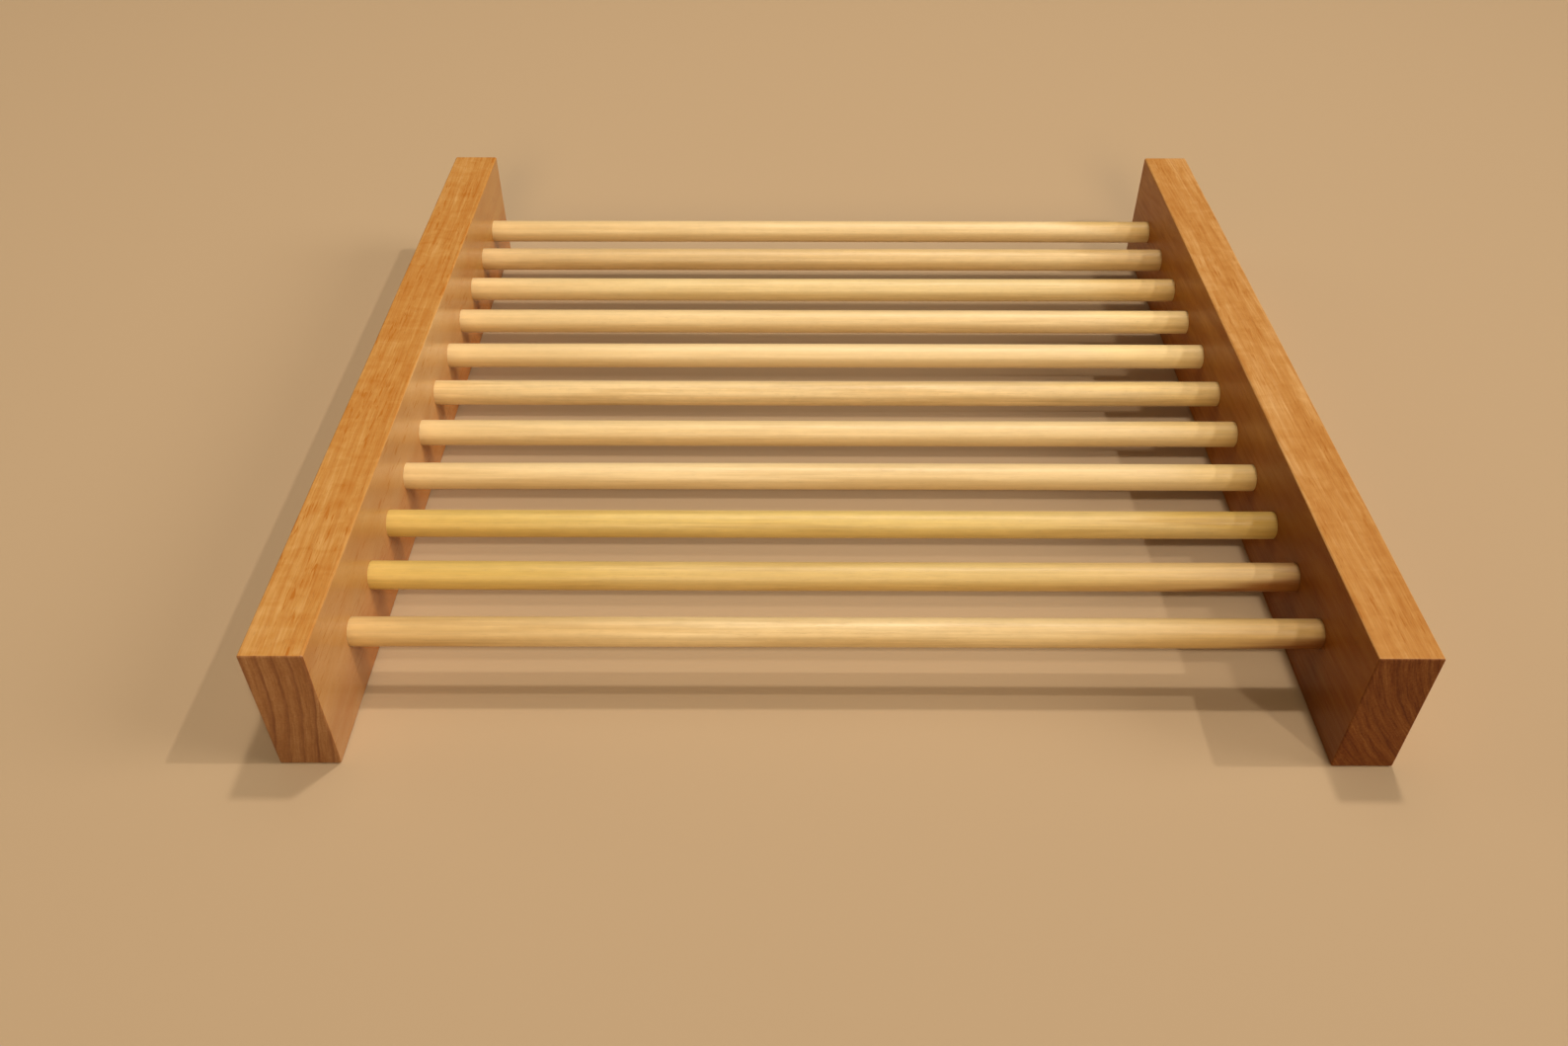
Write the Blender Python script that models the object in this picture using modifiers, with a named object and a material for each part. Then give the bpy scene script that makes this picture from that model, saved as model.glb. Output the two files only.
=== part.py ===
"""Wooden cooling rack: two upright rails joined by a row of round dowels.

X runs across the rack along the dowels, Y along the rails from the front end to
the back end, and Z up. The origin is on the floor, under the middle of the rack.
Each dowel's two ends sit in blind sockets drilled into the rails' inner faces.
"""

import math

import bmesh
import bpy

# Driving dimensions, in metres
rail_thickness = 0.019
rail_edge_round = 0.0007
inside_width = 0.304
dowel_count = 11
dowel_diameter = 0.0095
dowel_pitch = 0.0257
front_margin = 0.033
back_margin = 0.0265
air_space_below = 0.0194
lip_above_dowels = 0.0196
socket_depth = 0.0095
socket_clearance = 0.0003
dowel_end_chamfer = 0.0006

# How finely the round shapes are divided
round_sides = 32
rail_edge_segments = 2
bevel_angle = math.radians(60)
smooth_angle = math.radians(30)

# Sizes worked out from the driving dimensions
rail_length = front_margin + (dowel_count - 1) * dowel_pitch + back_margin
rail_height = air_space_below + dowel_diameter + lip_above_dowels
rail_offset = (inside_width + rail_thickness) / 2
first_dowel = front_margin - rail_length / 2
dowel_height = air_space_below + dowel_diameter / 2
socket_diameter = dowel_diameter + 2 * socket_clearance
socket_span = inside_width + 2 * socket_depth
dowel_length = socket_span - 2 * socket_clearance

# Wood colours as linear red, green and blue, the dowels' from the front to the back
rail_colour = (0.55, 0.26, 0.08)
cream = (0.72, 0.52, 0.27)
pale = (0.76, 0.57, 0.33)
yellow = (0.66, 0.48, 0.17)
dowel_colours = (cream, pale, yellow, cream, cream, pale, cream, cream, yellow, cream, cream)
rail_roughness = 0.42
dowel_roughness = 0.5


def clear_scene():
    for obj in list(bpy.data.objects):
        bpy.data.objects.remove(obj, do_unlink=True)


def new_collection(name):
    collection = bpy.data.collections.new(name)
    bpy.context.scene.collection.children.link(collection)
    return collection


def wood(name, colour, roughness):
    material = bpy.data.materials.new(name)
    material.use_nodes = True
    shader = material.node_tree.nodes["Principled BSDF"]
    shader.inputs["Base Color"].default_value = (*colour, 1)
    shader.inputs["Roughness"].default_value = roughness
    shader.inputs["Metallic"].default_value = 0
    material.diffuse_color = (*colour, 1)
    return material


def new_object(name, shape, collection):
    mesh = bpy.data.meshes.new(name)
    shape.to_mesh(mesh)
    shape.free()
    obj = bpy.data.objects.new(name, mesh)
    collection.objects.link(obj)
    return obj


def board(size_x, size_y, size_z):
    shape = bmesh.new()
    bmesh.ops.create_cube(shape, size=1)
    bmesh.ops.scale(shape, vec=(size_x, size_y, size_z), verts=shape.verts)
    return shape


def rod(diameter, length):
    shape = bmesh.new()
    bmesh.ops.create_cone(
        shape,
        cap_ends=True,
        segments=round_sides,
        radius1=diameter / 2,
        radius2=diameter / 2,
        depth=length,
    )
    return shape


def lay_across(obj, place_y):
    """Turns a rod's axis from Z to X and puts it at its place in the row."""
    obj.rotation_euler = (0, math.pi / 2, 0)
    obj.location = (0, place_y, dowel_height)


def round_edges(obj, width, segments):
    bevel = obj.modifiers.new("eased edges", "BEVEL")
    bevel.width = width
    bevel.segments = segments
    bevel.limit_method = "ANGLE"
    bevel.angle_limit = bevel_angle


def finish(obj, colour, roughness):
    obj.data.materials.append(wood(f"{obj.name}_wood", colour, roughness))
    obj.data.shade_smooth()
    obj.data.set_sharp_from_angle(angle=smooth_angle)


def make_socket_cutter(number, place_y, collection):
    """A rod that reaches from one rail's socket to the other's, and so drills them both."""
    cutter = new_object(f"socket_cutter_{number:02d}", rod(socket_diameter, socket_span), collection)
    lay_across(cutter, place_y)
    cutter.hide_render = True
    cutter.display_type = "WIRE"
    return cutter


def make_rail(name, side, cutters, collection):
    rail = new_object(name, board(rail_thickness, rail_length, rail_height), collection)
    rail.location = (side * rail_offset, 0, rail_height / 2)
    round_edges(rail, rail_edge_round, rail_edge_segments)
    for cutter in cutters:
        drill = rail.modifiers.new(cutter.name, "BOOLEAN")
        drill.operation = "DIFFERENCE"
        drill.solver = "EXACT"
        drill.object = cutter
    finish(rail, rail_colour, rail_roughness)
    return rail


def make_dowel(number, place_y, collection):
    dowel = new_object(f"dowel_{number:02d}", rod(dowel_diameter, dowel_length), collection)
    lay_across(dowel, place_y)
    round_edges(dowel, dowel_end_chamfer, 1)
    finish(dowel, dowel_colours[(number - 1) % len(dowel_colours)], dowel_roughness)
    return dowel


def main():
    clear_scene()
    rack = new_collection("wooden_cooling_rack")
    helpers = new_collection("socket_cutters")
    row = [(i + 1, first_dowel + i * dowel_pitch) for i in range(dowel_count)]
    cutters = [make_socket_cutter(number, place_y, helpers) for number, place_y in row]
    pieces = [make_dowel(number, place_y, rack) for number, place_y in row]
    pieces.append(make_rail("left_rail", -1, cutters, rack))
    pieces.append(make_rail("right_rail", 1, cutters, rack))
    origin = bpy.data.objects.new("rack_origin", None)
    rack.objects.link(origin)
    for piece in pieces:
        piece.parent = origin


main()
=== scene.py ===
"""Looks of the wooden cooling rack: a fine mesh and wood for each piece, with floor, lights and camera."""

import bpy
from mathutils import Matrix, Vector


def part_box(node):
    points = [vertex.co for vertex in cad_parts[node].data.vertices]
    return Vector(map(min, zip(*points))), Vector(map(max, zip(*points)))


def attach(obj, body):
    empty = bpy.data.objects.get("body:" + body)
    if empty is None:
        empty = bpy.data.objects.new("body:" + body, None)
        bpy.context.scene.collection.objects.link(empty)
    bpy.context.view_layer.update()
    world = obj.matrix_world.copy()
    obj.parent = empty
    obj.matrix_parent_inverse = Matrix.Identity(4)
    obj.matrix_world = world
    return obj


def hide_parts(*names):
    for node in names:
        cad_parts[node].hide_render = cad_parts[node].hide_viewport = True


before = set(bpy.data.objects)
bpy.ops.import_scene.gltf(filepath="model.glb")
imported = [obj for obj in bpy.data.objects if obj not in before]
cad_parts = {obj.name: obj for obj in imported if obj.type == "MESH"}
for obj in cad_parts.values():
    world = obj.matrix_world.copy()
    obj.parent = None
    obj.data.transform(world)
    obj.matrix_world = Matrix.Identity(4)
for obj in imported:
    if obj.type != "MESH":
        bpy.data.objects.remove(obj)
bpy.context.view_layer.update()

import math

import bmesh
import bpy
from mathutils import Vector, noise

MM = 0.001

# Meshes
SMOOTH_ANGLE = math.radians(35)
FLAT_FACE_WEIGHT = 100

# Rails
RAIL_EDGE = 0.7 * MM
LEAST_RAIL_EDGE = 0.1 * RAIL_EDGE
RAIL_CORNERS = ((1, 1), (-1, 1), (-1, -1), (1, -1))
EDGE_STEPS = 4
RAIL_STATION = 6 * MM
SOCKET_DEPTH = 9.5 * MM
SOCKET_FIT = 0.06 * MM
SOCKET_SIDES = 72

# Slow changes along a rail: how long and how strong they are, and where in the noise they are read
WANDER_LENGTH = 40 * MM
EDGE_WANDER = 0.3
FACE_WANDER = 0.02 * MM
WANDER_STRIDE = 7.3
WANDER_LEVEL = 1.7
UPRIGHT_FACE_SEED = 11
LEVEL_FACE_SEED = 17
MIDDLE_SEED = 3
RAIL_SEED_STRIDE = 20

# Dowels
DOWEL_SIDES = 64
DOWEL_STATION = 6 * MM
DOWEL_CHAMFER = 0.5 * MM

# Small faults of the dowels: bend, oval section and uneven skin, with a turn or a stride from rod to rod
DOWEL_BOW = 0.25 * MM
DOWEL_BOW_STRIDE = 3.1
DOWEL_BOW_TURN = 1.3
DOWEL_OVAL = 0.004
DOWEL_OVAL_TURN = 1.9
DOWEL_WANDER = 0.02 * MM
DOWEL_WANDER_LENGTH = 30 * MM
DOWEL_WANDER_REACH = 2
DOWEL_WANDER_STRIDE = 5.1

# All wood: a noise's middle and the span that most of it lies in, the powers by which a stain changes red,
# green and blue, how strong the weakest year's line is, and where a Mix node has its colours
WOOD_IOR = 1.5
GRAIN_DEPTH = 0.02 * MM
NOISE_MIDDLE = 0.5
NOISE_SPAN = (0.3, 0.7)
STAIN_POWERS = (1.0, 1.7, 3.2)
LEAST_SEASON = 0.5
MIX_FIRST = 6
MIX_SECOND = 7
MIX_RESULT = 2

# Camera, matched to the photograph's viewpoint
CAMERA_PLACE = (-0.0150, -0.4011, 0.3139)
CAMERA_DOWN = math.radians(41.47)
CAMERA_LEFT = math.radians(0.21)
CAMERA_RANGE = (0.01, 100)
SENSOR_MM = 36.0
FOCAL_PIXELS = 1284.0
PHOTO_WIDTH = 1588.0

# Lamps: name, place, width, colour and share of the light on a level surface
LAMP_TARGET = (0.0, 0.0, 0.03)
LAMPS = (
    ("overhead", (0.21, 0.27, 1.60), 0.10, (1.0, 0.92, 0.80), 0.35),
    ("ceiling", (0.00, 0.35, 1.70), 1.20, (1.0, 0.92, 0.80), 0.15),
)

# Distant lights: name, direction towards the light, angle in degrees, colour and share
DISTANT_LIGHTS = (
    ("side", (0.74, 0.00, 1.00), 1.2, (1.0, 0.93, 0.82), 0.19),
    ("front", (0.43, -0.65, 1.00), 3.0, (1.0, 0.91, 0.78), 0.16),
    ("broad", (1.59, -0.19, 1.00), 26.0, (1.0, 0.93, 0.82), 0.19),
    ("left", (-1.87, 0.47, 1.00), 25.0, (1.0, 0.90, 0.74), 0.03),
    ("fill", (0.02, -2.15, 1.00), 15.0, (1.0, 0.80, 0.50), 0.15),
)

# World and floor
WORLD_TINT = (1.0, 0.74, 0.46, 1)
WORLD_STRENGTH = 0.05
BACKDROP_TINT = (0.390, 0.270, 0.160, 1)
FLOOR_TINT = (0.46, 0.325, 0.195, 1)
FLOOR_ROUGHNESS = 0.8
FLOOR_REACH = 12
FLOOR_DROP = 0.1 * MM


# Mesh building

def new_piece(name, shape):
    mesh = bpy.data.meshes.new(name)
    shape.to_mesh(mesh)
    shape.free()
    piece = bpy.data.objects.new(name, mesh)
    bpy.context.scene.collection.objects.link(piece)
    return piece


def loft(rings):
    """A closed skin over rings with equal numbers of points, with a flat face on each end."""
    shape = bmesh.new()
    rows = [[shape.verts.new(point) for point in ring] for ring in rings]
    count = len(rings[0])
    for row, after in zip(rows, rows[1:]):
        for i in range(count):
            j = (i + 1) % count
            shape.faces.new((row[i], row[j], after[j], after[i]))
    shape.faces.new(list(reversed(rows[0])))
    shape.faces.new(rows[-1])
    bmesh.ops.recalc_face_normals(shape, faces=shape.faces)
    return shape


def smooth(piece):
    piece.data.shade_smooth()
    piece.data.set_sharp_from_angle(angle=SMOOTH_ANGLE)
    weighted = piece.modifiers.new("flat faces stay flat", "WEIGHTED_NORMAL")
    weighted.keep_sharp = True
    weighted.weight = FLAT_FACE_WEIGHT


def stations(low, high, edge, spacing):
    """(place, inset) pairs along a board or rod: a rounded edge at each end and even steps between."""
    rounded = []
    for step in range(EDGE_STEPS + 1):
        turn = math.radians(90) * step / EDGE_STEPS
        rounded.append((edge * (1 - math.cos(turn)), edge * (1 - math.sin(turn))))
    steps = round((high - low) / spacing)
    inner = [low + (high - low) * i / steps for i in range(1, steps)]
    places = [(low + offset, inset) for offset, inset in rounded]
    places += [(place, 0.0) for place in inner]
    places += [(high - offset, inset) for offset, inset in reversed(rounded)]
    return places


def wander(y, seed):
    """A slow, even change from -1 to 1 along a rail, different for each seed."""
    return noise.noise(Vector((y / WANDER_LENGTH, seed * WANDER_STRIDE, WANDER_LEVEL)))


def rail_ring(half_x, half_z, y, inset, centre, seed):
    """One section of a rail, a rectangle with eased corners that vary a little along the board."""
    points = []
    for k, (side_x, side_z) in enumerate(RAIL_CORNERS):
        ease = max(RAIL_EDGE * (1 + EDGE_WANDER * wander(y, seed + k)) - inset, LEAST_RAIL_EDGE)
        wave_x = FACE_WANDER * wander(y, seed + UPRIGHT_FACE_SEED + side_x)
        wave_z = FACE_WANDER * wander(y, seed + LEVEL_FACE_SEED + side_z)
        mid_x = side_x * (half_x - inset - ease) + wave_x
        mid_z = side_z * (half_z - inset - ease) + wave_z
        start = math.radians(90 * k)
        for step in range(EDGE_STEPS + 1):
            turn = start + math.radians(90) * step / EDGE_STEPS
            points.append((
                centre.x + mid_x + ease * math.cos(turn),
                y,
                centre.z + mid_z + ease * math.sin(turn),
            ))
    return points


def drill_sockets(rail, face_x, dowels):
    """Cuts a blind socket for each dowel into the rail's inner face."""
    shape = bmesh.new()
    for low, high in dowels:
        centre = (low + high) / 2
        radius = (high.z - low.z) / 2 + SOCKET_FIT
        socket = bmesh.ops.create_cone(
            shape,
            cap_ends=True,
            segments=SOCKET_SIDES,
            radius1=radius,
            radius2=radius,
            depth=2 * SOCKET_DEPTH,
        )
        bmesh.ops.rotate(
            shape,
            verts=socket["verts"],
            matrix=Vector((0, 0, 1)).rotation_difference(Vector((1, 0, 0))).to_matrix(),
        )
        bmesh.ops.translate(shape, verts=socket["verts"], vec=(face_x, centre.y, centre.z))
    cutter = new_piece("socket_drill", shape)
    drill = rail.modifiers.new("sockets", "BOOLEAN")
    drill.operation = "DIFFERENCE"
    drill.solver = "EXACT"
    drill.object = cutter
    bpy.context.view_layer.update()
    graph = bpy.context.evaluated_depsgraph_get()
    drilled = bpy.data.meshes.new_from_object(rail.evaluated_get(graph))
    rail.modifiers.clear()
    rail.data = drilled
    bpy.data.objects.remove(cutter)


def make_rail(node, side, dowels):
    low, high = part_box(node)
    centre = (low + high) / 2
    half = (high - low) / 2
    seed = MIDDLE_SEED + RAIL_SEED_STRIDE * side
    rings = [
        rail_ring(half.x, half.z, y, inset, centre, seed)
        for y, inset in stations(low.y, high.y, RAIL_EDGE, RAIL_STATION)
    ]
    rail = new_piece(f"{node}_board", loft(rings))
    drill_sockets(rail, centre.x - side * half.x, dowels)
    smooth(rail)
    return rail


def make_dowel(node, index):
    """A rod that is very slightly bent, oval and uneven, each rod in its own way."""
    low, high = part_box(node)
    centre = (low + high) / 2
    radius = (high.z - low.z) / 2
    half_length = (high.x - low.x) / 2
    bow = DOWEL_BOW * math.sin(DOWEL_BOW_STRIDE * index + 1)
    bow_turn = DOWEL_BOW_TURN * index
    seed = index + 1
    oval_turn = DOWEL_OVAL_TURN * seed
    rings = []
    for x, inset in stations(low.x, high.x, DOWEL_CHAMFER, DOWEL_STATION):
        along = (x - centre.x) / half_length
        lift = bow * (1 - along * along)
        ring = []
        for side in range(DOWEL_SIDES):
            turn = math.tau * side / DOWEL_SIDES
            place = Vector((
                x / DOWEL_WANDER_LENGTH,
                DOWEL_WANDER_REACH * math.cos(turn),
                DOWEL_WANDER_REACH * math.sin(turn) + DOWEL_WANDER_STRIDE * seed,
            ))
            grown = radius * (1 + DOWEL_OVAL * math.cos(2 * (turn - oval_turn)))
            grown += DOWEL_WANDER * noise.noise(place) - inset
            ring.append((
                x,
                centre.y + lift * math.cos(bow_turn) + grown * math.cos(turn),
                centre.z + lift * math.sin(bow_turn) + grown * math.sin(turn),
            ))
        rings.append(ring)
    rod = new_piece(f"{node}_rod", loft(rings))
    smooth(rod)
    return rod


# Material building

def colour(red, green, blue):
    return (red, green, blue, 1.0)


class Wood:
    """A material's node graph, with short calls for the nodes that wood is made of. Lengths are in mm."""

    def __init__(self, name, grain_axis, shift):
        self.material = bpy.data.materials.new(name)
        self.material.use_nodes = True
        self.tree = self.material.node_tree
        self.shader = self.tree.nodes["Principled BSDF"]
        self.grain_axis = grain_axis
        source = self.tree.nodes.new("ShaderNodeTexCoord")
        self.place = self.vector("MULTIPLY", source.outputs["Object"], (1 / MM, 1 / MM, 1 / MM))
        self.sample = self.vector("ADD", self.place, shift)
        self.normal = source.outputs["Normal"]

    def give(self, socket, value):
        if isinstance(value, bpy.types.NodeSocket):
            self.tree.links.new(value, socket)
        else:
            socket.default_value = value

    def node(self, kind, inputs, output=0, **settings):
        made = self.tree.nodes.new(kind)
        for name, value in settings.items():
            setattr(made, name, value)
        for key, value in inputs.items():
            self.give(made.inputs[key], value)
        return made.outputs[output]

    def math(self, operation, first, second=0.0, third=0.0):
        inputs = {0: first, 1: second, 2: third}
        return self.node("ShaderNodeMath", inputs, operation=operation)

    def vector(self, operation, first, second):
        return self.node("ShaderNodeVectorMath", {0: first, 1: second}, operation=operation)

    def joined(self, x, y, z):
        return self.node("ShaderNodeCombineXYZ", {0: x, 1: y, 2: z})

    def length(self, vector):
        return self.node("ShaderNodeVectorMath", {0: vector}, output=1, operation="LENGTH")

    def parts(self, vector):
        made = self.tree.nodes.new("ShaderNodeSeparateXYZ")
        self.give(made.inputs[0], vector)
        return made.outputs

    def noise(self, width, length, detail=2.0, roughness=0.5, distortion=0.0):
        """Noise whose marks are about this wide across the grain and this long along it."""
        sizes = [width] * 3
        sizes[self.grain_axis] = length
        return self.noise_at(self.sample, sizes, detail, roughness, distortion)

    def noise_at(self, place, sizes, detail=2.0, roughness=0.5, distortion=0.0):
        inputs = {
            "Vector": self.vector("DIVIDE", place, sizes),
            "Scale": 1.0,
            "Detail": detail,
            "Roughness": roughness,
            "Distortion": distortion,
        }
        return self.node("ShaderNodeTexNoise", inputs)

    def ranged(self, value, low, high, to_low=0.0, to_high=1.0, kind="SMOOTHSTEP"):
        inputs = {"Value": value, "From Min": low, "From Max": high, "To Min": to_low, "To Max": to_high}
        return self.node("ShaderNodeMapRange", inputs, interpolation_type=kind)

    def spread(self, value, low, high):
        """Goes evenly from low to high over the values that noise mostly has."""
        return self.ranged(value, *NOISE_SPAN, low, high, "LINEAR")

    def spots(self, marks, span):
        """Separate marks, where their noise passes through this span."""
        return self.ranged(self.noise(*marks), *span)

    def mix(self, share, first, second, blend="MIX"):
        made = self.tree.nodes.new("ShaderNodeMix")
        made.data_type = "RGBA"
        made.blend_type = blend
        self.give(made.inputs[0], share)
        self.give(made.inputs[MIX_FIRST], first)
        self.give(made.inputs[MIX_SECOND], second)
        return made.outputs[MIX_RESULT]

    def lay(self, value, share, tint, over):
        """The tint with another one laid over it where the value is high, up to this share."""
        return self.mix(self.math("MULTIPLY", value, share), tint, over)

    def dim(self, tint, level):
        """The tint times a level."""
        return self.mix(1.0, tint, self.joined(level, level, level), "MULTIPLY")

    def shade(self, tint, value, change):
        """The tint made lighter by this change as a noise value goes up, and darker as it goes down."""
        return self.dim(tint, self.spread(value, 1 - change, 1 + change))

    def stain(self, tint, value, change):
        """Like shade, but with more change in green and most in blue, so that dark marks are redder."""
        level = self.spread(value, 1 - change, 1 + change)
        levels = self.joined(*(self.math("POWER", level, power) for power in STAIN_POWERS))
        return self.mix(1.0, tint, levels, "MULTIPLY")

    def ramp(self, value, stops, kind="LINEAR"):
        """A ramp through (place, colour) stops."""
        made = self.tree.nodes.new("ShaderNodeValToRGB")
        self.give(made.inputs[0], value)
        made.color_ramp.interpolation = kind
        elements = made.color_ramp.elements
        while len(elements) < len(stops):
            elements.new(1.0)
        for element, (place, tint) in zip(elements, stops):
            element.position = place
            element.color = tint
        return made.outputs[0]

    def curve(self, value, stops):
        """A grey ramp through (place, level) stops."""
        return self.ramp(value, [(place, colour(level, level, level)) for place, level in stops])

    def weighted(self, start, parts):
        """The start value plus each value times its weight."""
        total = start
        for value, weight in parts:
            total = self.math("MULTIPLY_ADD", value, weight, total)
        return total

    def uneven(self, start, parts):
        """The start value plus each noise times its weight, with the noise counted from its middle."""
        centred = [(self.math("SUBTRACT", value, NOISE_MIDDLE), weight) for value, weight in parts]
        return self.weighted(start, centred)

    def relief(self, weights):
        """The grain's height: the sum of the wood's fields that have a weight."""
        return self.weighted(0.0, [(getattr(self, field), weight) for field, weight in weights.items()])

    def season_lines(self, distance, spacing, stops):
        """A line at the end of each year's growth, some years stronger than others."""
        phase = self.math("DIVIDE", distance, spacing)
        line = self.curve(self.math("FRACT", phase), stops)
        year = self.math("FLOOR", phase)
        weight = self.node("ShaderNodeTexWhiteNoise", {"W": year}, noise_dimensions="1D")
        return self.math("MULTIPLY", line, self.ranged(weight, 0.0, 1.0, LEAST_SEASON, 1.0, "LINEAR"))

    def finish(self, tint, roughness, height, gloss):
        self.give(self.shader.inputs["Base Color"], tint)
        self.give(self.shader.inputs["Roughness"], roughness)
        self.shader.inputs["IOR"].default_value = WOOD_IOR
        self.shader.inputs["Specular IOR Level"].default_value = gloss
        bump = self.tree.nodes.new("ShaderNodeBump")
        bump.inputs["Distance"].default_value = GRAIN_DEPTH
        self.give(bump.inputs["Height"], height)
        self.give(self.shader.inputs["Normal"], bump.outputs[0])
        return self.material


# Looks of the two rails. The pith's place, from the middle of the board's section, the rings' spacing and
# shift, and the zone of another tone are in mm. The zone's third number is its change of tone, and lean is
# how far the rings move for each mm along the board. Drift and middle change the tone from end to end and at
# mid-length, and calm is what is left of the figure on the upright faces. Tones go from pale to deep. Faces
# are painted light and shade multiplied into the inner face at the front, at mid-length and at the back,
# with a painted pale sheen at mid-length on the left rail and painted shade on the right rail. Foot is
# painted shade multiplied into the inner face's lowest part, at the front end and elsewhere. Arris is the
# colour of a painted highlight along the long arrises, and end_foot is the end face's level at its foot:
# painted shade below 1 and painted light above 1.
LEFT_WOOD = {
    "seed": 1,
    "pith": (-200.0, 28.0),
    "ring": 4.3,
    "ring_shift": 3.15,
    "lean": 0.012,
    "zone": (204.5, 212.5, 0.06),
    "drift": 0.06,
    "middle": 0.17,
    "calm": 0.50,
    "tones": (colour(0.650, 0.372, 0.134), colour(0.539, 0.259, 0.066), colour(0.454, 0.163, 0.024)),
    "faces": (colour(0.97, 1.00, 1.19), colour(1.20, 1.52, 2.50), colour(0.90, 0.87, 0.66)),
    "foot": (colour(0.80, 0.75, 0.80), colour(0.84, 0.60, 0.36)),
    "arris": colour(0.860, 0.540, 0.220),
    "arris_share": 0.05,
    "line": colour(0.400, 0.125, 0.016),
    "line_share": 0.30,
    "end": colour(0.285, 0.116, 0.031),
    "end_line": colour(0.150, 0.033, 0.001),
    "end_line_share": 0.95,
    "end_marks": 0.65,
    "end_foot": 0.91,
    "flecks": 0.70,
    "curl": 0.55,
    "roughness": (0.20, 0.27),
    "gloss": 0.60,
}
RIGHT_WOOD = {
    "seed": 2,
    "pith": (75.0, 42.0),
    "ring": 4.4,
    "ring_shift": 0.6,
    "lean": -0.035,
    "zone": (72.0, 81.0, 0.12),
    "drift": -0.06,
    "middle": -0.09,
    "calm": 1.0,
    "tones": (colour(0.625, 0.352, 0.137), colour(0.500, 0.235, 0.063), colour(0.395, 0.147, 0.025)),
    "faces": (colour(0.595, 0.40, 0.15), colour(0.90, 0.68, 0.27), colour(0.915, 0.655, 0.13)),
    "foot": (colour(0.71, 0.69, 0.69), colour(0.74, 0.70, 0.74)),
    "arris": colour(0.820, 0.520, 0.220),
    "arris_share": 0.30,
    "line": colour(0.360, 0.120, 0.018),
    "line_share": 0.24,
    # The right end's colour is darker end grain with painted shade added
    "end": colour(0.150, 0.043, 0.006),
    "end_line": colour(0.075, 0.015, 0.0015),
    "end_line_share": 0.37,
    "end_marks": 1.10,
    "end_foot": 1.09,
    "flecks": 0.35,
    "curl": 0.40,
    "roughness": (0.34, 0.42),
    "gloss": 0.23,
}

# How far along the noise, in mm, one rail's wood lies from the other's, and how the late wood's strength
# goes over one year's growth
RAIL_STRIDE = 731.0
RING_STOPS = ((0.0, 0.12), (0.08, 0.0), (0.52, 0.0), (0.76, 0.35), (0.90, 1.0), (0.96, 0.9), (1.0, 0.12))

# Marks in the rails' wood: width across the grain and length along it in mm, then the noise's detail,
# roughness and distortion. Those that follow the rings have a size across the rings, one along the board
# and one upwards. Spots also have the span of the noise over which they appear, and bends how far they move
# the rings in mm.
RAIL_STRAND = (0.3, 7, 2)
RAIL_CLOUD = (14, 45, 2)
RAIL_CURL = (8, 5, 2, 0.5, 0.8)
# Patches along the board where the painted highlight on the arrises is stronger
RAIL_HIGHLIGHT_PATCHES = (4, 22, 3)
RAIL_FIBRE = ((0.7, 20, 12), 3, 0.55)
RAIL_STREAK = ((2.0, 30, 24), 2, 0.5)
RAIL_PORES = ((0.2, 2.5, 1), (0.63, 0.74))
RAIL_DASHES = ((0.9, 9, 2, 0.6), (0.54, 0.68))
RAIL_PATCHES = ((6, 34, 1), (0.46, 0.60))
RING_BENDS = (((50, 160, 1), 4.0), ((9, 55, 2), 1.3))
END_STRAND = (0.7, 20, 3, 0.7)
END_RAYS = ((0.45, 12, 7), 3, 0.65)
END_CLOUD = ((1.7, 60, 22), 2)

# How strongly the marks show in the rails, round the usual tone
USUAL_TONE = 0.5
FIBRE_WEIGHT = 0.8
STREAK_WEIGHT = 0.9
CLOUD_WEIGHT = 0.65
STRAND_WEIGHT = 0.35
SIDE_CURL = 0.15
RAIL_PORE_TINT = colour(0.200, 0.070, 0.018)
RAIL_PORE_SHARE = 0.20
# Span of the patch noise, and the least share of the painted arris highlight between patches
HIGHLIGHT_PATCH_SPAN = (0.35, 0.65)
LEAST_HIGHLIGHT = 0.3
END_RAY_CHANGE = 0.26
END_MARK_CHANGE = 0.18
# The end faces' level at their top, above the painted shade and light that each look gives their foot
END_TOP_LEVEL = 1.01
END_ROUGHNESS = 0.25
RAIL_RELIEF = {"strand": 0.35, "pores": -0.8, "fibre": 0.4, "late": 0.2}

# Places in the rails, in mm along the board from its middle or up from its underside
HALF_RAIL = 158
MID_LENGTH_SPAN = (130, 20)
FACE_STRETCH = 120
ZONE_BLUR = 2
FRONT_END_SPAN = (-137, -117)
FOOT_SPAN = (30, 8)
END_FOOT_SPAN = (0, 40)

# Spans in the parts of a surface's normal, by which the faces, ends and arrises are told apart. The sideways
# part counts a little towards an end, so that the end's look reaches round its upright corners.
INNER_SPAN = (0.55, 0.95)
UPRIGHT_SPAN = (0.3, 0.8)
END_SPAN = (0.33, 0.70)
END_CORNER = 0.14
ARRIS_SPAN = (0.97, 0.80)


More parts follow.
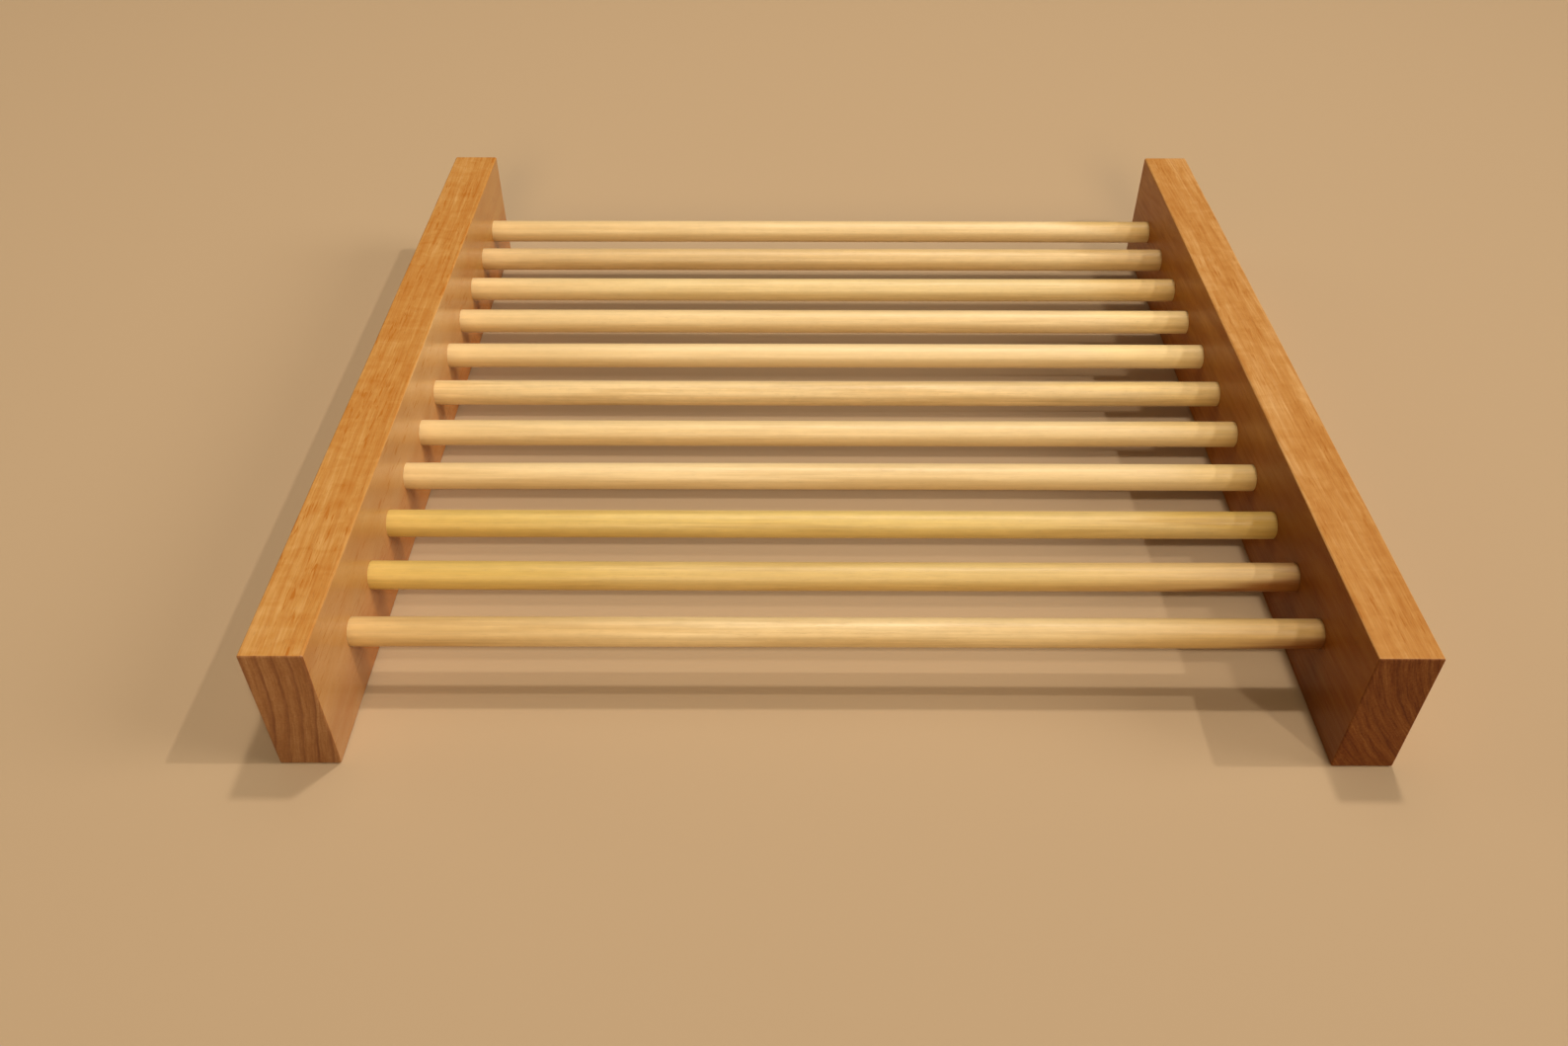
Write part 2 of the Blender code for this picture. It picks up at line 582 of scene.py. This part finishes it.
class RailWood(Wood):
    """Satin honey-coloured hardwood: growth rings round a pith beside the board, fibre and end grain."""

    def __init__(self, name, look, middle):
        super().__init__(name, grain_axis=1, shift=(0, look["seed"] * RAIL_STRIDE, 0))
        self.look = look
        self.along, self.up = self.parts(self.place)[1:]
        facing = self.parts(self.normal)
        self.sideways, self.lengthways, self.upwards = [self.math("ABSOLUTE", part) for part in facing]
        inwards = self.math("MULTIPLY", facing[0], math.copysign(1, -middle.x))
        self.inwards = self.ranged(inwards, *INNER_SPAN)
        self.distance = self.ring_distance(middle)
        self.late = self.season_lines(self.distance, look["ring"], RING_STOPS)
        self.layers = self.joined(self.distance, self.parts(self.sample)[1], self.up)
        self.fibre = self.noise_at(self.layers, *RAIL_FIBRE)
        self.strand = self.noise(*RAIL_STRAND)
        self.pores = self.spots(*RAIL_PORES)

    def ring_distance(self, middle):
        """Distance from the pith, bent by slow noise."""
        pith_x, pith_z = self.look["pith"]
        pith = (middle.x / MM + pith_x, 0, middle.z / MM + pith_z)
        level = self.vector("MULTIPLY", self.place, (1, 0, 1))
        radius = self.length(self.vector("SUBTRACT", level, pith))
        distance = self.math("MULTIPLY_ADD", self.along, self.look["lean"], radius)
        distance = self.uneven(distance, [(self.noise(*marks), weight) for marks, weight in RING_BENDS])
        return self.math("ADD", distance, self.look["ring_shift"])

    def figure(self):
        """How much deeper the marks make the tone, counted from 0."""
        streak = self.noise_at(self.layers, *RAIL_STREAK)
        figure = self.uneven(0.0, (
            (self.fibre, FIBRE_WEIGHT),
            (streak, STREAK_WEIGHT),
            (self.noise(*RAIL_CLOUD), CLOUD_WEIGHT),
            (self.strand, STRAND_WEIGHT),
        ))
        curl_weight = self.math("MULTIPLY_ADD", self.upwards, self.look["curl"], SIDE_CURL)
        figure = self.uneven(figure, ((self.noise(*RAIL_CURL), curl_weight),))
        flecks = self.math("MULTIPLY", self.spots(*RAIL_DASHES), self.spots(*RAIL_PATCHES))
        return self.math("MULTIPLY_ADD", flecks, self.look["flecks"], figure)

    def band(self, near, far):
        """A band of rings with soft limits, between two distances from the pith."""
        after_near = self.ranged(self.distance, near - ZONE_BLUR, near + ZONE_BLUR)
        before_far = self.ranged(self.distance, far + ZONE_BLUR, far - ZONE_BLUR)
        return self.math("MULTIPLY", after_near, before_far)

    def long_tint(self):
        """Long grain: a ramp from pale to deep, late wood in lines, and pores."""
        look = self.look
        near, far, zone_change = look["zone"]
        off_middle = self.math("ABSOLUTE", self.along)
        calm = self.ranged(self.sideways, *UPRIGHT_SPAN, 1.0, look["calm"])
        tone = self.math("MULTIPLY_ADD", self.along, look["drift"] / HALF_RAIL, USUAL_TONE)
        tone = self.math("ADD", tone, self.ranged(off_middle, *MID_LENGTH_SPAN, 0.0, look["middle"]))
        tone = self.weighted(tone, ((self.figure(), calm), (self.band(near, far), zone_change)))
        pale, usual, deep = look["tones"]
        tint = self.ramp(tone, ((0.0, pale), (USUAL_TONE, usual), (1.0, deep)))
        tint = self.lay(self.late, look["line_share"], tint, look["line"])
        return self.lay(self.pores, RAIL_PORE_SHARE, tint, RAIL_PORE_TINT)

    def paint_light_on_inner_face(self, tint):
        """Multiplies painted light and shade into the inner face along the board, and painted shade into its
        foot.
        """
        front, middle, back = self.look["faces"]
        face = self.mix(self.ranged(self.along, -FACE_STRETCH, 0), front, middle)
        face = self.mix(self.ranged(self.along, 0, FACE_STRETCH), face, back)
        tint = self.mix(self.inwards, tint, face, "MULTIPLY")
        foot = self.mix(self.ranged(self.along, *FRONT_END_SPAN), *self.look["foot"])
        foot_share = self.math("MULTIPLY", self.inwards, self.ranged(self.up, *FOOT_SPAN))
        return self.mix(foot_share, tint, foot, "MULTIPLY")

    def paint_arris_highlight(self, tint):
        """Pales the long arrises with a painted highlight, more in some places than in others."""
        steepest = self.math("MAXIMUM", self.sideways, self.upwards)
        arris = self.ranged(self.math("ADD", steepest, self.lengthways), *ARRIS_SPAN)
        highlight_patches = self.ranged(self.noise(*RAIL_HIGHLIGHT_PATCHES), *HIGHLIGHT_PATCH_SPAN, LEAST_HIGHLIGHT, 1.0)
        highlight_mask = self.math("MULTIPLY", arris, highlight_patches)
        return self.lay(highlight_mask, self.look["arris_share"], tint, self.look["arris"])

    def end_tint(self):
        """End grain: darker wood, with lines along the rings and marks across them, and painted light and
        shade from foot to top.
        """
        look = self.look
        tint = self.lay(self.late, look["end_line_share"], look["end"], look["end_line"])
        tint = self.stain(tint, self.noise_at(self.layers, *END_RAYS), END_RAY_CHANGE * look["end_marks"])
        for marks in (self.noise(*END_STRAND), self.noise_at(self.layers, *END_CLOUD)):
            tint = self.stain(tint, marks, END_MARK_CHANGE * look["end_marks"])
        # Painted light and shade from foot to top: the left rail's end is darker at its foot, the right
        # rail's lighter.
        return self.dim(tint, self.ranged(self.up, *END_FOOT_SPAN, look["end_foot"], END_TOP_LEVEL))


def rail_wood(name, look, middle):
    wood = RailWood(name, look, middle)
    ends = wood.ranged(wood.math("MULTIPLY_ADD", wood.sideways, END_CORNER, wood.lengthways), *END_SPAN)
    tint = wood.paint_arris_highlight(wood.paint_light_on_inner_face(wood.long_tint()))
    tint = wood.mix(ends, tint, wood.end_tint())
    roughness = wood.spread(wood.fibre, *look["roughness"])
    roughness = wood.math("MULTIPLY_ADD", ends, END_ROUGHNESS, roughness)
    return wood.finish(tint, roughness, wood.relief(RAIL_RELIEF), look["gloss"])


# Looks of the dowels from the front one to the back one: tones at five places from the left end to the right
# end, how far in mm the change of tone slants across the rod, and how strong the grain is. The last tone, at
# the right end beside the rail, is partly the rod's own tone and partly painted light and shade: painted
# shade on the front rods, and painted warm light bounced from the rail on most of the others. The slant
# partly follows the edge of a painted shadow of the rail.
CREAM = colour(0.760, 0.560, 0.290)
PALE = colour(0.805, 0.605, 0.328)
SAND = colour(0.705, 0.512, 0.255)
ROSY = colour(0.680, 0.478, 0.228)
HONEY = colour(0.655, 0.460, 0.175)
TAN = colour(0.610, 0.405, 0.170)
DEEP_TAN = colour(0.545, 0.345, 0.126)
YELLOW = colour(0.625, 0.425, 0.120)
STRAW = colour(0.690, 0.495, 0.168)
BUTTER = colour(0.738, 0.556, 0.275)
# IVORY, GOLD, OCHRE, RUSSET, DULL_YELLOW and UMBER are used only at the rods' right ends, where they carry
# painted light and shade as well as the rods' tone
IVORY = colour(0.890, 0.670, 0.325)
GOLD = colour(0.765, 0.540, 0.228)
OCHRE = colour(0.715, 0.488, 0.195)
RUSSET = colour(0.265, 0.098, 0.018)
DUSTY = colour(0.620, 0.432, 0.208)
DULL_YELLOW = colour(0.545, 0.350, 0.088)
UMBER = colour(0.180, 0.056, 0.008)
TONE_PLACES = (-128, -43, 43, 115, 146)
DOWEL_LOOKS = (
    ((TAN, CREAM, SAND, DEEP_TAN, UMBER), -20, 0.9),
    ((YELLOW, HONEY, HONEY, TAN, RUSSET), -10, 0.8),
    ((YELLOW, STRAW, STRAW, HONEY, DULL_YELLOW), 20, 1.0),
    ((SAND, PALE, CREAM, CREAM, GOLD), 15, 0.6),
    ((SAND, CREAM, CREAM, CREAM, GOLD), 15, 0.7),
    ((SAND, CREAM, CREAM, SAND, GOLD), 25, 1.1),
    ((SAND, PALE, PALE, PALE, IVORY), 15, 0.5),
    ((SAND, CREAM, CREAM, PALE, IVORY), 15, 0.7),
    ((SAND, BUTTER, BUTTER, BUTTER, OCHRE), 20, 0.7),
    ((DUSTY, DUSTY, ROSY, SAND, TAN), 20, 0.9),
    ((SAND, CREAM, CREAM, PALE, OCHRE), 15, 0.7),
)

# How far along the noise, in mm, each dowel's wood lies from the next one's
DOWEL_STRIDE = 917.0

# Marks in the dowels' wood, given as for the rails
ROD_SLOW = (10, 120, 1)
ROD_WAVER = (2.5, 60, 2)
ROD_FIBRE = (0.9, 40, 4, 0.6)
ROD_STREAK = (2.2, 60, 2)
ROD_STRAND = (0.3, 9, 2)
ROD_MOTTLE = (2.5, 6, 2)
ROD_FEATHER = (5, 80, 1)
ROD_FEATHER_SPAN = (0.52, 0.66)
ROD_PORES = ((0.25, 3, 1), (0.62, 0.72))

# Growth bands: spacing and bend in mm, strength over one year's growth, turn round the axis from rod to rod,
# and lean for each mm along the rod
BAND_SPACING = 2.4
BAND_BEND = 6.0
BAND_STOPS = ((0.0, 0.1), (0.15, 0.0), (0.60, 0.25), (0.88, 1.0), (1.0, 0.1))
BAND_TURN = 2.399
BAND_LEAN = 0.012
BAND_LEAN_STRIDE = 1.3

# How strongly the marks show in a dowel of strength 1, and how far in mm they move the changes of tone
SLOW_TONE_REACH = 70.0
WAVER_TONE_REACH = 30.0
FEATHER_FIBRE = 0.45
BAND_SHARE = 0.27
FEATHER_SHARE = 0.55
FIBRE_CHANGE = 0.07
STREAK_CHANGE = 0.05
MOTTLE_CHANGE = 0.04
STRAND_CHANGE = 0.03
DOWEL_SHADE = colour(0.86, 0.79, 0.66)
DOWEL_PORE_TINT = colour(0.40, 0.25, 0.11)
DOWEL_PORE_SHARE = 0.22
DOWEL_ROUGHNESS = (0.38, 0.48)
DOWEL_GLOSS = 0.5
DOWEL_RELIEF = {"strand": 0.4, "pores": -0.8, "fibre": 0.5}


class DowelWood(Wood):
    """Pale satin rod: tones that change along it, growth bands, darker feathered grain, fibre and pores."""

    def __init__(self, name, seed, low, high):
        super().__init__(name, grain_axis=0, shift=(seed * DOWEL_STRIDE, 0, 0))
        self.seed = seed
        self.half_length = (high.x - low.x) / 2 / MM
        self.radius = (high.z - low.z) / 2 / MM
        axis = [value / MM for value in (low + high) / 2]
        self.along, self.across, self.up = self.parts(self.vector("SUBTRACT", self.place, axis))
        self.slow = self.noise(*ROD_SLOW)
        self.fibre = self.noise(*ROD_FIBRE)
        self.strand = self.noise(*ROD_STRAND)
        self.pores = self.spots(*ROD_PORES)

    def bands(self):
        """Late wood in flat layers along the rod, tilted otherwise in each rod."""
        turn = self.seed * BAND_TURN
        lean = BAND_LEAN * math.sin(self.seed * BAND_LEAN_STRIDE)
        band = self.math("MULTIPLY", self.up, math.sin(turn))
        band = self.weighted(band, ((self.across, math.cos(turn)), (self.along, lean)))
        band = self.uneven(band, ((self.slow, BAND_BEND),))
        return self.season_lines(band, BAND_SPACING, BAND_STOPS)

    def feather(self):
        """Long darker marks with frayed edges."""
        frayed = self.uneven(self.noise(*ROD_FEATHER), ((self.fibre, FEATHER_FIBRE),))
        return self.ranged(frayed, *ROD_FEATHER_SPAN)

    def tone_tint(self, tones, slant):
        """The rod's tones from its left end to its right end, with slanting, uneven changes, and painted
        light and shade in the last tone.
        """
        length = 2 * self.half_length
        place = self.math("MULTIPLY_ADD", self.up, slant / self.radius, self.along)
        waver = self.noise(*ROD_WAVER)
        place = self.uneven(place, ((self.slow, SLOW_TONE_REACH), (waver, WAVER_TONE_REACH)))
        share = self.ranged(place, -self.half_length, self.half_length, 0.0, 1.0, "LINEAR")
        stops = [((spot + self.half_length) / length, tint) for spot, tint in zip(TONE_PLACES, tones)]
        return self.ramp(share, stops, "EASE")


def dowel_wood(name, look, seed, low, high):
    tones, slant, strength = look
    wood = DowelWood(name, seed, low, high)
    tint = wood.tone_tint(tones, slant)
    darker = wood.mix(1.0, tint, DOWEL_SHADE, "MULTIPLY")
    tint = wood.lay(wood.bands(), BAND_SHARE * strength, tint, darker)
    tint = wood.lay(wood.feather(), FEATHER_SHARE * strength, tint, darker)
    tint = wood.shade(tint, wood.fibre, -FIBRE_CHANGE * strength)
    tint = wood.shade(tint, wood.noise(*ROD_STREAK), -STREAK_CHANGE * strength)
    tint = wood.shade(tint, wood.noise(*ROD_MOTTLE), MOTTLE_CHANGE * strength)
    tint = wood.shade(tint, wood.strand, STRAND_CHANGE)
    tint = wood.lay(wood.pores, DOWEL_PORE_SHARE * strength, tint, DOWEL_PORE_TINT)
    roughness = wood.spread(wood.fibre, *DOWEL_ROUGHNESS)
    return wood.finish(tint, roughness, wood.relief(DOWEL_RELIEF), DOWEL_GLOSS)


# Rack

def dress(piece, material, node):
    piece.data.materials.clear()
    piece.data.materials.append(material)
    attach(piece, "root")
    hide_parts(node)


def make_rack():
    rods = sorted(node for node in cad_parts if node.startswith("dowel_"))
    dowels = [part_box(node) for node in rods]
    for node, side, look in (("left_rail", -1, LEFT_WOOD), ("right_rail", 1, RIGHT_WOOD)):
        low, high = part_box(node)
        rail = make_rail(node, side, dowels)
        dress(rail, rail_wood(f"{node}_wood", look, (low + high) / 2), node)
    for index, (node, (low, high)) in enumerate(zip(rods, dowels)):
        rod = make_dowel(node, index)
        look = DOWEL_LOOKS[index % len(DOWEL_LOOKS)]
        dress(rod, dowel_wood(f"{node}_wood", look, index + 1, low, high), node)


# Floor, light and camera

def make_floor():
    shape = bmesh.new()
    bmesh.ops.create_grid(shape, x_segments=1, y_segments=1, size=FLOOR_REACH)
    floor = new_piece("floor", shape)
    floor.location.z = -FLOOR_DROP
    material = bpy.data.materials.new("pale_floor")
    material.use_nodes = True
    shader = material.node_tree.nodes["Principled BSDF"]
    shader.inputs["Base Color"].default_value = FLOOR_TINT
    shader.inputs["Roughness"].default_value = FLOOR_ROUGHNESS
    floor.data.materials.append(material)


def hang(data, tint, place, away):
    """Puts a light in the scene with its back to the direction given."""
    data.color = tint
    lamp = bpy.data.objects.new(data.name, data)
    bpy.context.scene.collection.objects.link(lamp)
    lamp.location = place
    lamp.rotation_euler = away.to_track_quat("Z", "Y").to_euler()


def make_lamp(name, place, width, tint, share):
    """A round soft lamp, whose power gives its share of the light at the target."""
    away = Vector(place) - Vector(LAMP_TARGET)
    data = bpy.data.lights.new(name, "AREA")
    data.shape = "DISK"
    data.size = width
    data.energy = share * math.pi ** 2 * away.length ** 3 / away.z
    hang(data, tint, place, away)


def make_distant_light(name, direction, angle, tint, share):
    """Light from far away, whose strength gives its share of the light on a level surface."""
    away = Vector(direction)
    data = bpy.data.lights.new(name, "SUN")
    data.angle = math.radians(angle)
    data.energy = share * math.pi * away.length / away.z
    hang(data, tint, away, away)


def make_world():
    """Dim warm light from all sides, in front of a pale backdrop."""
    world = bpy.data.worlds.new("studio")
    world.use_nodes = True
    nodes = world.node_tree.nodes
    link = world.node_tree.links.new
    ambient = nodes["Background"]
    ambient.inputs["Color"].default_value = WORLD_TINT
    ambient.inputs["Strength"].default_value = WORLD_STRENGTH
    backdrop = nodes.new("ShaderNodeBackground")
    backdrop.inputs["Color"].default_value = BACKDROP_TINT
    choice = nodes.new("ShaderNodeMixShader")
    link(nodes.new("ShaderNodeLightPath").outputs["Is Camera Ray"], choice.inputs[0])
    link(ambient.outputs[0], choice.inputs[1])
    link(backdrop.outputs[0], choice.inputs[2])
    link(choice.outputs[0], nodes["World Output"].inputs["Surface"])
    bpy.context.scene.world = world


def make_light():
    make_world()
    for lamp in LAMPS:
        make_lamp(*lamp)
    for light in DISTANT_LIGHTS:
        make_distant_light(*light)


def make_camera():
    data = bpy.data.cameras.new("camera")
    data.sensor_width = SENSOR_MM
    data.lens = SENSOR_MM * FOCAL_PIXELS / PHOTO_WIDTH
    data.clip_start, data.clip_end = CAMERA_RANGE
    camera = bpy.data.objects.new("camera", data)
    bpy.context.scene.collection.objects.link(camera)
    camera.location = CAMERA_PLACE
    camera.rotation_euler = (math.radians(90) - CAMERA_DOWN, 0, CAMERA_LEFT)
    bpy.context.scene.camera = camera


make_rack()
make_floor()
make_light()
make_camera()
bpy.context.scene.view_settings.view_transform = "Standard"

bpy.context.view_layer.update()
